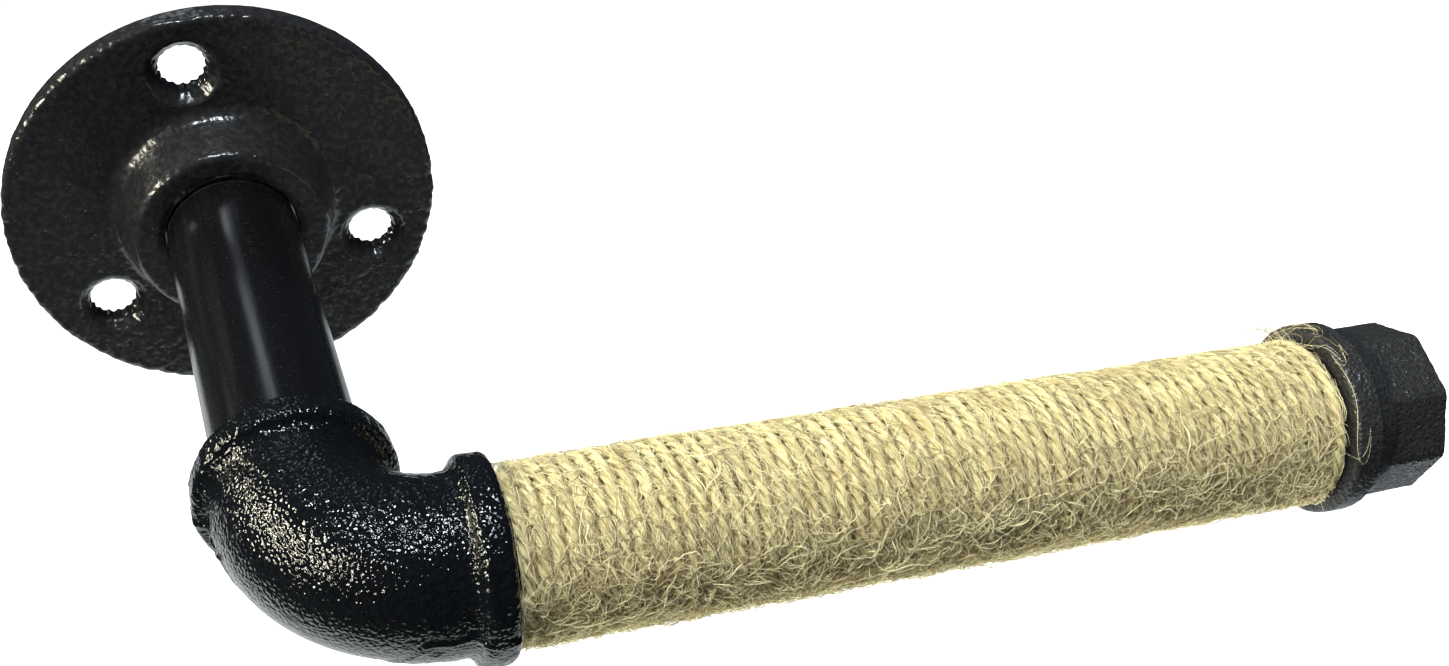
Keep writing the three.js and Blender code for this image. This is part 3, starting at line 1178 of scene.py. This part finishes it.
@dataclass
class PipeNipple:
    """A pipe with a tapered thread cut on each end.

    Args:
        name: the piece's name.
        node: the CAD node that it stands for.
        run: the line that it lies along.
        start: where it begins on that line.
        end: where it ends.
        part: the body that it rides on.
        finish: the paint on its middle.
    """

    name: str
    node: str
    run: Run
    start: float
    end: float
    part: Part
    finish: PipePaint
    columns: int = 96
    thread_depth: float = 0.95 * MM

    def rings(self) -> Array:
        """The tube's wall, outside and then inside.

        On each thread the radius falls with the taper of 1 in 32 towards the end, and
        again by the thread's depth times a flattened triangle wave of the helix, which
        is height over pitch minus angle over a whole turn.

        Returns:
            Points of shape (rows, columns, 3).
        """
        length = self.end - self.start
        fine = np.arange(0, THREAD_LENGTH + 1.2 * MM, THREAD_PITCH / 9)
        middle = np.linspace(fine[-1] + 0.6 * MM, length - fine[-1] - 0.6 * MM, 24)
        height = np.concatenate([fine, middle, length - fine[::-1]])
        from_end = np.minimum(height, length - height)
        angle = np.arange(self.columns) / self.columns * TURN
        phase = (height[:, None] / THREAD_PITCH - angle / TURN) % 1.0
        groove = np.clip(2.6 * (0.5 - np.abs(phase - 0.5)) - 0.15, 0, 1)
        cut = 1 - smooth_step(from_end, THREAD_LENGTH - 2.0 * MM, THREAD_LENGTH - 0.4 * MM)
        taper = np.maximum(THREAD_LENGTH - from_end, 0) / 32
        chamfer = 0.8 * MM * (1 - smooth_step(from_end, 0.0, 1.2 * MM))
        plain = PIPE_RADIUS - 0.03 * MM - (taper + chamfer)[:, None]
        outer = plain - self.thread_depth * cut[:, None] * groove
        across, up = outer * np.cos(angle), outer * np.sin(angle)
        outside = self.run.place(self.start + height[:, None] + 0 * angle, across, up)
        bore = PIPE_RADIUS - PIPE_WALL
        back = np.array([length, length * 0.75, length * 0.5, length * 0.25, 0.0])
        across, up = bore * np.cos(angle), bore * np.sin(angle)
        inside = self.run.place(self.start + back[:, None] + 0 * angle, across, up)
        return np.concatenate([outside, inside])

    def build(self) -> bpy.types.Object:
        """Makes the pipe, painted in the middle and bare on its threads."""
        shell = ring_shell(self.rings())
        materials = [self.finish.build(), CutThread(self.name + "_thread_steel").build()]
        piece = settle(self.name, shell, materials, self.part, self.node)
        middles = shell.points[shell.quads].mean(axis=1) - np.array(self.run.start)
        along = middles @ np.array(self.run.along) - self.start
        from_end = np.minimum(along, self.end - self.start - along)
        bare = (from_end < THREAD_LENGTH - 0.2 * MM).astype(np.int32)
        piece.data.polygons.foreach_set("material_index", bare)
        return piece


STRAW = (0.84, 0.75, 0.4)
STRAW_SHADE = (0.5, 0.41, 0.18)
BARK = (0.5, 0.37, 0.16)


@dataclass
class TwineWinding:
    """Jute twine of three plies, wound turn by turn on the arm.

    The strand's centre follows a helix round the arm. Each ply follows a smaller
    helix round the strand's centre, a third of a turn from the next.
    """

    start: float = float(TWINE_BOX.low[0])
    end: float = float(TWINE_BOX.high[0])
    outer_radius: float = float(TWINE_BOX.high[2])
    plies: int = 3
    pitch: float = 2.24 * MM
    lay: float = 7.0 * MM
    steps_per_lay: int = 14
    sides: int = 8
    seed: int = 5
    finish: JuteYarn = JuteYarn("jute_plies", STRAW, STRAW_SHADE, BARK)

    def __post_init__(self) -> None:
        """Works out the strand's thickness and the number of turns."""
        self.strand_radius = (self.outer_radius - PIPE_RADIUS) / 2
        self.turns = int((self.end - self.start - self.pitch) / self.pitch) + 0.5

    def centre(self, turn: Array) -> tuple[Array, Array, Array]:
        """The strand's centre after so many turns.

        The distance along the arm grows by the pitch each turn and wanders a little;
        the distance from the axis is the pipe's radius plus the strand's, with some
        turns riding higher, and the first one pulled down to the pipe.

        Args:
            turn: turns counted from the elbow's end.

        Returns:
            The distances along the arm, the distances from its axis, and the angles.
        """
        first = self.start + self.strand_radius * 0.9
        gap = (self.end - self.start - 1.8 * self.strand_radius) / self.turns
        wander = LineField(self.seed, 0.9).at(turn) * 0.16 * MM
        ends = smooth_step(np.minimum(turn, self.turns - turn), 0.0, 1.5)
        along = first + gap * turn + wander * ends
        ride = 0.1 * MM * LineField(self.seed + 1, 2.7).at(turn)
        ride += 0.07 * MM * LineField(self.seed + 2, 0.35).at(turn)
        sunk = 0.3 * MM * (1 - smooth_step(turn, 0.3, 1.6))
        radius = PIPE_RADIUS + self.strand_radius + 0.02 * MM + ride * ends - sunk
        bulge = 0.4 * MM * smooth_step(turn, self.turns - 1.6, self.turns - 0.4)
        return along, radius + bulge, -TURN * turn + 1.9

    def strand(self, turn: Array) -> tuple[Array, Array]:
        """The strand's centre as points, and the direction away from the arm's axis."""
        along, radius, angle = self.centre(turn)
        outward = ARM_RUN.place(0 * turn, np.cos(angle), np.sin(angle)) - np.array(ARM_RUN.start)
        return ARM_RUN.place(along, 0 * turn, 0 * turn) + outward * radius[:, None], outward

    def ply(self, index: int) -> Shell:
        """One ply as a long closed tube.

        Args:
            index: which ply.

        Returns:
            The shell, with U along the ply and V round it, in millimetres.
        """
        turn_length = TURN * (PIPE_RADIUS + self.strand_radius)
        length = self.turns * turn_length
        steps = int(length / self.lay * self.steps_per_lay)
        share = np.linspace(0, 1, steps)
        centre, outward = self.strand(share * self.turns)
        ahead = np.gradient(centre, axis=0)
        ahead /= np.linalg.norm(ahead, axis=1, keepdims=True)
        beside = np.cross(ahead, outward)
        beside *= np.sign(beside[:, :1])
        travelled = share * length
        slack = LineField(self.seed + 10 + index, 5 * MM).at(travelled)
        twist = TURN * (travelled / self.lay + index / self.plies)
        twist += 0.35 * LineField(self.seed + 20, 9 * MM).at(travelled)
        ply_radius = self.strand_radius * 0.54 * (1 + 0.13 * slack)
        swing = self.strand_radius * (0.5 + 0.06 * LineField(self.seed + 30 + index, 3 * MM).at(travelled))
        offset = np.cos(twist)[:, None] * outward + np.sin(twist)[:, None] * beside
        middle = centre + swing[:, None] * offset
        angle = np.arange(self.sides) / self.sides * TURN
        inner_share = -np.cos(angle)[None, :, None] * outward[:, None, :]
        around = inner_share + np.sin(angle)[None, :, None] * beside[:, None, :]
        ends = np.sqrt(np.clip(np.minimum(share, 1 - share) * length / (0.8 * MM), 0.02, 1))
        lumps = 1 + 0.07 * np.sin(3 * angle[None, :] + travelled[:, None] / (1.3 * MM) + 4 * slack[:, None])
        rings = middle[:, None, :] + (ply_radius * ends)[:, None, None] * lumps[:, :, None] * around
        return tube_shell(rings, travelled / MM, TURN * self.strand_radius * 0.54 / MM)

    def bed(self) -> Shell:
        """The flattened inner side of the turns: a lumpy ring between pipe and plies.

        It stands over the pipe by 0.6 of the strand's radius, plus or minus 0.12 of it
        by a cosine of the place between two turns. The shade is painted shade: 1 on its
        crests and 0 in its hollows, so that the gaps between the turns come out darker.

        Returns:
            The closed ring, with its shade.
        """
        rows, columns = 420, 72
        along = np.linspace(self.start + 0.5 * MM, self.end - 0.3 * MM, rows)[:, None]
        angle = (np.arange(columns) / columns * TURN)[None, :]
        between = np.cos(TURN * (along - self.start) / self.pitch + angle)
        radius = PIPE_RADIUS + self.strand_radius * (0.6 + 0.12 * between)
        outside = ARM_RUN.place(along + 0 * angle, radius * np.cos(angle), radius * np.sin(angle))
        inner = PIPE_RADIUS + 0.02 * MM
        back = along[::-40]
        inside = ARM_RUN.place(back + 0 * angle, inner * np.cos(angle), inner * np.sin(angle))
        shell = ring_shell(np.concatenate([outside, inside]))
        # Painted shade: the shade attribute darkens the bed's hollows between the turns.
        shell.shade = np.zeros(len(shell.points))
        shell.shade[:outside[..., 0].size] = (0.5 + 0.5 * between).ravel()
        return shell

    def build(self) -> list[bpy.types.Object]:
        """Makes the plies, all in one material, and the bed under them, much darker than the plies as
        painted shade.
        """
        material = self.finish.build()
        # Painted shade: the bed's jute is far darker than the plies', standing in for the shade in the gaps
        # between the turns.
        bed_painted_shade = JuteYarn("jute_bed_painted_shade", (0.36, 0.28, 0.13), (0.26, 0.19, 0.08), BARK, loose=True).build()
        pieces = [settle("twine_bed", self.bed(), [bed_painted_shade], Part.ARM, "twine_wrap")]
        for index in range(self.plies):
            name = f"twine_ply_{index + 1}"
            pieces.append(settle(name, self.ply(index), [material], Part.ARM, "twine_wrap"))
        return pieces


class FibreLie(Enum):
    """How loose fibres lie on the winding."""

    ALONG = "along the strand"
    MATTED = "crossing in all directions"
    STANDING = "standing off"
    CURLED = "long and curled"


@dataclass
class LooseFibres:
    """Many thin loose fibres on the winding, made as one piece.

    A fibre is a thin three sided tube. Its path is kept in three numbers: distance
    along the arm, angle round it, and distance from its axis.

    Args:
        name: the piece's name.
        lie: how the fibres lie.
        count: how many there are.
        seed: picks them.
        length: the shortest and the longest.
        thickness: the thinnest and the thickest radius.
        steps: how many stretches each has.
        under: how much the fibres gather on the winding's lower front, from 0 to 1.
        at_cap: whether they all start at the top of the last turns.
        winding: the winding that they lie on.
        finish: their yarn.
    """

    name: str
    lie: FibreLie
    count: int
    seed: int
    length: tuple[float, float]
    thickness: tuple[float, float]
    steps: int
    under: float
    at_cap: bool = False
    winding: TwineWinding = field(default_factory=TwineWinding)
    finish: JuteYarn = JuteYarn("jute_fibres", (0.93, 0.84, 0.5), (0.25, 0.19, 0.085), BARK, loose=True)

    def roots(self, rng: np.random.Generator) -> tuple[Array, Array]:
        """Picks where the fibres start.

        Args:
            rng: the source of chance.

        Returns:
            Distances along the arm and angles, with more of them low at the front.
        """
        tufts = self.count // 5
        tuft = rng.integers(0, tufts, self.count)
        along = rng.uniform(self.winding.start + 0.3 * MM, self.winding.end - 0.3 * MM, tufts)
        low_front = rng.normal(-0.7, 0.7, tufts)
        gathered = rng.uniform(0, 1, tufts) < self.under
        angle = np.where(gathered, low_front, rng.uniform(0, TURN, tufts))
        if self.at_cap:
            along = self.winding.end - rng.uniform(0.5 * MM, 4 * MM, tufts)
            angle = rng.normal(2.0, 0.3, tufts)
        stray = rng.normal(0, 1.1 * MM, (2, self.count))
        return along[tuft] + stray[0], angle[tuft] + stray[1] / self.winding.outer_radius

    def paths(self) -> tuple[Array, Array, Array, Array]:
        """Works out every fibre's path at once.

        The heading on the winding's surface starts near the strand's own or at random,
        and turns by a steady bend and a sine wave; distance along the arm and angle are
        running sums of its cosine and sine. The height over the winding depends on how
        the fibres lie, and matted ones are paler the higher they lie: painted shade that
        darkens the low ones lying under the rest.

        Returns:
            Distances along, angles, distances from the axis, each of shape (fibres,
            points), and one shade for each fibre.
        """
        rng = np.random.default_rng(self.seed)
        along, angle = self.roots(rng)
        shortest, longest = self.length
        length = shortest + (longest - shortest) * rng.uniform(0, 1, self.count) ** 1.6
        share = np.linspace(0, 1, self.steps + 1)[None, :]
        surface = self.winding.outer_radius - 0.12 * MM
        step = (length / self.steps)[:, None]
        one_each = (self.count, 1)
        bend = rng.normal(0, 1, one_each)
        wave = rng.uniform(0, TURN, one_each)
        lift = rng.uniform(0, 1, one_each) ** 2
        if self.lie is FibreLie.ALONG:
            heading = TURN / 4 + rng.choice([0, math.pi], one_each) + rng.normal(0.22, 0.3, one_each)
            heading = heading + 0.6 * bend * share + 0.3 * np.sin(5 * share + wave)
            height = 0.28 * MM * lift * np.sin(math.pi * share) + 0.5 * MM * lift * share**3 - 0.05 * MM
        elif self.lie is FibreLie.MATTED:
            heading = rng.uniform(0, TURN, one_each) + 1.3 * bend * share + 0.5 * np.sin(6 * share + wave)
            height = (0.05 + 1.05 * lift) * MM * np.sin(math.pi * np.minimum(share * 1.15, 1))
            height = height + 0.08 * MM * np.sin(9 * share + wave)
        elif self.lie is FibreLie.STANDING:
            heading = rng.uniform(0, TURN, one_each) + 1.2 * bend * share
            height = length[:, None] * (0.25 + 0.6 * lift) * share * (1 - 0.35 * share)
            step = step * np.sqrt(1 - (0.25 + 0.55 * lift) ** 2)
        else:
            heading = rng.uniform(0, TURN, one_each) + (2.2 + bend) * share
            heading = heading + 0.8 * np.sin(7 * share + wave)
            rise = 2.9 if self.at_cap else 0.5 + 1.9 * lift
            height = rise * MM * np.sin(math.pi * share**0.8) + 0.2 * MM * np.sin(11 * share + wave)
        sideways = np.cumsum(np.cos(heading) * step, axis=1)
        onward = np.cumsum(np.sin(heading) * step, axis=1) / surface
        shade = rng.normal(0.6, 0.36, self.count)
        # Painted shade: matted fibres lying low are darker and high ones paler, with a little random tone on
        # top.
        if self.lie is FibreLie.MATTED:
            shade = 0.05 + 1.05 * lift[:, 0] ** 0.8 + rng.normal(0, 0.12, self.count)
        shade = np.clip(shade, 0, 1)
        return along[:, None] + sideways, angle[:, None] + onward, surface + height, shade

    def shell(self) -> Shell:
        """Makes all fibres as tubes of three sides that taper at both ends.

        Past either end of the winding a fibre's way along the arm is squeezed, so that
        it stays off the elbow and the cap. A curled one is let on over the cap's band,
        where its distance from the axis is at least the band's.

        Returns:
            The fibres as one shell.
        """
        along, angle, radius, shade = self.paths()
        low, high = self.winding.start + 0.3 * MM, self.winding.end - 0.3 * MM
        if self.lie is FibreLie.CURLED:
            along = np.where(along > high, high + 2.6 * MM * np.tanh((along - high) / (4 * MM)), along)
            over = smooth_step(along, high - 0.8 * MM, high)
            clear = self.winding.outer_radius * (1 - over) + (CAP_BAND_RADIUS + 0.1 * MM) * over
            radius = np.maximum(radius, clear)
        else:
            last = high - 0.6 * MM
            along = np.where(along > last, last + (along - last) * 0.1, along)
        along = np.where(along < low, low + (along - low) * 0.12, along)
        path = ARM_RUN.place(along, radius * np.cos(angle), radius * np.sin(angle))
        ahead = np.gradient(path, axis=1)
        ahead /= np.maximum(np.linalg.norm(ahead, axis=2, keepdims=True), 1e-12)
        outward = ARM_RUN.place(0 * angle, np.cos(angle), np.sin(angle)) - np.array(ARM_RUN.start)
        beside = np.cross(ahead, outward)
        beside /= np.maximum(np.linalg.norm(beside, axis=2, keepdims=True), 1e-12)
        above = np.cross(beside, ahead)
        rng = np.random.default_rng(self.seed + 1)
        thinnest, thickest = self.thickness
        thick = thinnest + (thickest - thinnest) * rng.uniform(0, 1, self.count) ** 2
        share = np.linspace(0, 1, self.steps + 1)
        taper = 0.25 + 0.75 * np.sin(math.pi * np.clip(0.12 + 0.83 * share, 0, 1)) ** 0.6
        reach = (thick[:, None] * taper)[:, :, None, None]
        spoke = np.arange(3) / 3 * TURN
        around = np.cos(spoke)[:, None] * beside[:, :, None, :]
        around = around + np.sin(spoke)[:, None] * above[:, :, None, :]
        rings = path[:, :, None, :] + reach * around
        points = rings.reshape(-1, 3)
        one = np.arange((self.steps + 1) * 3).reshape(-1, 3)
        beside_one = np.roll(one, -1, axis=1)
        sides = np.stack([one[:-1], beside_one[:-1], beside_one[1:], one[1:]], axis=-1).reshape(-1, 4)
        start = np.array([[one[0, 2], one[0, 1], one[0, 0], one[0, 0]]])
        end = np.array([[one[-1, 0], one[-1, 1], one[-1, 2], one[-1, 2]]])
        fibre = np.concatenate([sides, start, end])
        quads = (fibre[None] + (np.arange(self.count) * one.size)[:, None, None]).reshape(-1, 4)
        return Shell(points, quads, shade=np.repeat(shade, one.size)).outward()

    def build(self, material: bpy.types.Material) -> bpy.types.Object:
        """Makes the piece.

        Args:
            material: the fibres' material.

        Returns:
            The piece.
        """
        return settle(self.name, self.shell(), [material], Part.ARM)


# ---------------------------------------------------------------- studio


@dataclass
class Studio:
    """Floor, lights and camera, none of them part of the object.

    Args:
        floor_level: the floor's height.
        floor_radius: its radius.
        target: the point that the lights face.
        shadow: the middle of a painted shadow, a dark patch of floor before the elbow.
        lit_pool_centre: the middle of the floor's painted pool of light, its pale part.
    """

    floor_level: float = -0.30
    floor_radius: float = 1.5
    target: tuple[float, float, float] = (0.05, -0.08, 0.0)
    shadow: tuple[float, float] = (-0.3, -0.47)
    lit_pool_centre: tuple[float, float] = (0.12, 0.2)

    def floor(self) -> None:
        """A round floor well below the holder.

        To the camera it is plain white. To the gloss its colour is a painted pool of light,
        pale round the lit pool centre and dark further off, with a painted shadow in the shadow patch.
        """
        angle = np.arange(96) / 96 * TURN
        radius = np.array([0.3, 0.7, 1.0])[:, None] * self.floor_radius
        height = np.full((3, 96), self.floor_level)
        across = radius * np.cos(angle) + self.target[0]
        along = radius * np.sin(angle) + self.target[1]
        rings = np.stack([across, along, height], axis=-1)
        shell = tube_shell(np.concatenate([rings, rings[-1:] - [0, 0, 0.01]]))
        board, shader, material = new_material("pale_floor")
        place = board.add("ShaderNodeTexCoord").outputs["Object"]
        pale = (*self.lit_pool_centre, self.floor_level)
        from_lit_pool = board.add("ShaderNodeVectorMath", {0: place, 1: pale}, operation="DISTANCE")
        dark = (*self.shadow, self.floor_level)
        from_painted_shadow = board.add("ShaderNodeVectorMath", {0: place, 1: dark}, operation="DISTANCE")
        # Painted pool of light and painted shadow: the colour is pale near the lit pool centre, dark further
        # off and dark in the shadow patch.
        outside_lit_pool = board.spread(from_lit_pool.outputs["Value"], 0.43, 0.52)
        in_painted_shadow = board.spread(from_painted_shadow.outputs["Value"], 0.4, 0.18)
        shade = board.math("MAXIMUM", outside_lit_pool, in_painted_shadow)
        tone = board.mix(shade, (0.64, 0.68, 0.72, 1), (0.035, 0.04, 0.045, 1))
        board.tree.links.new(tone, shader.inputs["Base Color"])
        shader.inputs["Roughness"].default_value = 0.9
        shader.inputs["Specular IOR Level"].default_value = 0.1
        shader.inputs["Emission Color"].default_value = (1.0, 1.0, 1.0, 1.0)
        seen = board.add("ShaderNodeLightPath").outputs["Is Camera Ray"]
        board.tree.links.new(seen, shader.inputs["Emission Strength"])
        floor = link(bpy.data.objects.new("floor", mesh_of("floor", shell)))
        floor.data.materials.append(material)

    def soft_box(
        self,
        name: str,
        toward: tuple[float, float, float],
        distance: float,
        size: tuple[float, float],
        glow: float,
        colour: tuple[float, float, float],
    ) -> bpy.types.Object:
        """A flat soft light that faces the holder.

        Args:
            name: the light's name.
            toward: the direction from the holder to the light.
            distance: how far away it is.
            size: its width and height.
            glow: its radiance, so that its power is glow times pi times its area.
            colour: its colour.

        Returns:
            The light.
        """
        heading = np.array(toward) / np.linalg.norm(toward)
        data = bpy.data.lights.new(name, "AREA")
        data.shape = "RECTANGLE"
        data.size, data.size_y = size
        data.color = colour
        data.energy = glow * math.pi * size[0] * size[1]
        light = link(bpy.data.objects.new(name, data))
        light.visible_camera = False
        light.location = np.array(self.target) + heading * distance
        back = Vector(heading)
        light.rotation_euler = back.to_track_quat("Z", "Y").to_euler()
        return light

    def lights(self) -> None:
        """Soft panels, of which the fills light the matt jute and stay out of the gloss."""
        self.soft_box("ceiling_panel", (-0.1, -0.12, 0.96), 1.1, (0.28, 0.2), 46.0, (0.85, 0.93, 1.0))
        self.soft_box("left_window", (-0.93, 0.02, 0.4), 1.2, (1.5, 0.1), 50.0, (1.0, 0.95, 0.76))
        self.soft_box("back_strip", (-0.15, 0.82, 0.55), 1.3, (0.16, 0.5), 1.8, (0.85, 0.93, 1.0))
        fills = [
            self.soft_box("top_fill", (-0.25, -0.08, 0.96), 1.1, (0.5, 0.4), 20.0, (0.95, 0.98, 1.0)),
            self.soft_box("bounce_card", (0.25, 0.1, -0.95), 0.26, (0.2, 0.16), 26.0, (0.92, 0.97, 1.0)),
        ]
        for fill in fills:
            fill.visible_glossy = False

    def world(self) -> None:
        """Pale to the eye, dim in reflections."""
        world = bpy.data.worlds.new("room")
        bpy.context.scene.world = world
        world.use_nodes = True
        board = Board(world.node_tree)
        seen = board.add("ShaderNodeLightPath").outputs["Is Camera Ray"]
        colour = board.mix(seen, (0.035, 0.042, 0.052, 1), (1.0, 1.0, 1.0, 1))
        board.tree.links.new(colour, world.node_tree.nodes["Background"].inputs["Color"])

    def camera(self) -> None:
        """The camera, above and in front of the elbow."""
        data = bpy.data.cameras.new("camera")
        data.lens = 46.527
        data.sensor_width = 36.0
        data.clip_start = 0.01
        camera = link(bpy.data.objects.new("camera", data))
        camera.location = (-0.023291, -0.285872, 0.171648)
        camera.rotation_euler = (0.959319, -0.079859, -0.337877)
        bpy.context.scene.camera = camera

    def build(self) -> None:
        """Sets the stage."""
        self.floor()
        self.lights()
        self.world()
        self.camera()
        bpy.context.scene.view_settings.view_transform = "Standard"


def main() -> None:
    """Builds every piece in order."""
    logging.basicConfig(level=logging.INFO, format="%(message)s")
    Studio().build()
    WallFlange().build()
    PipeNipple("standoff_pipe", "standoff_nipple", WALL_RUN, float(-STANDOFF_BOX.high[1]),
               float(-STANDOFF_BOX.low[1]), Part.STANDOFF,
               PipePaint("standoff_paint", (0.003, 0.003, 0.0035), (1.0, 0.05, 1.0))).build()
    Elbow().build()
    PipeNipple("arm_pipe", "arm_nipple", ARM_RUN, float(ARM_BOX.low[0]), float(ARM_BOX.high[0]), Part.ARM,
               PipePaint("arm_paint", (0.003, 0.003, 0.0035), (0.05, 1.0, 1.0))).build()
    TwineWinding().build()
    along, matted, standing, curled = FibreLie
    strands = [
        LooseFibres("fibres_along_a", along, 7500, 41, (2.5 * MM, 8 * MM), (0.03 * MM, 0.07 * MM), 4, 0.0),
        LooseFibres("fibres_along_b", along, 7500, 46, (2 * MM, 6 * MM), (0.022 * MM, 0.055 * MM), 4, 0.15),
        LooseFibres("fibres_matted_a", matted, 5900, 42, (3 * MM, 10 * MM), (0.035 * MM, 0.08 * MM), 5, 0.8),
        LooseFibres("fibres_matted_b", matted, 5900, 43, (2 * MM, 8 * MM), (0.035 * MM, 0.07 * MM), 5, 0.85),
        LooseFibres("fibres_standing", standing, 2700, 44, (1 * MM, 4.5 * MM), (0.018 * MM, 0.04 * MM),
                    5, 0.5),
        LooseFibres("fibres_curled", curled, 170, 45, (9 * MM, 24 * MM), (0.03 * MM, 0.055 * MM), 14, 0.55),
        LooseFibres("fibres_at_cap", curled, 30, 47, (8 * MM, 15 * MM), (0.03 * MM, 0.05 * MM), 14, 0.0,
                    at_cap=True),
    ]
    fibre_material = strands[0].finish.build()
    for strand in strands:
        strand.build(fibre_material)
    EndCap().build()


if __name__ == "__main__":
    main()
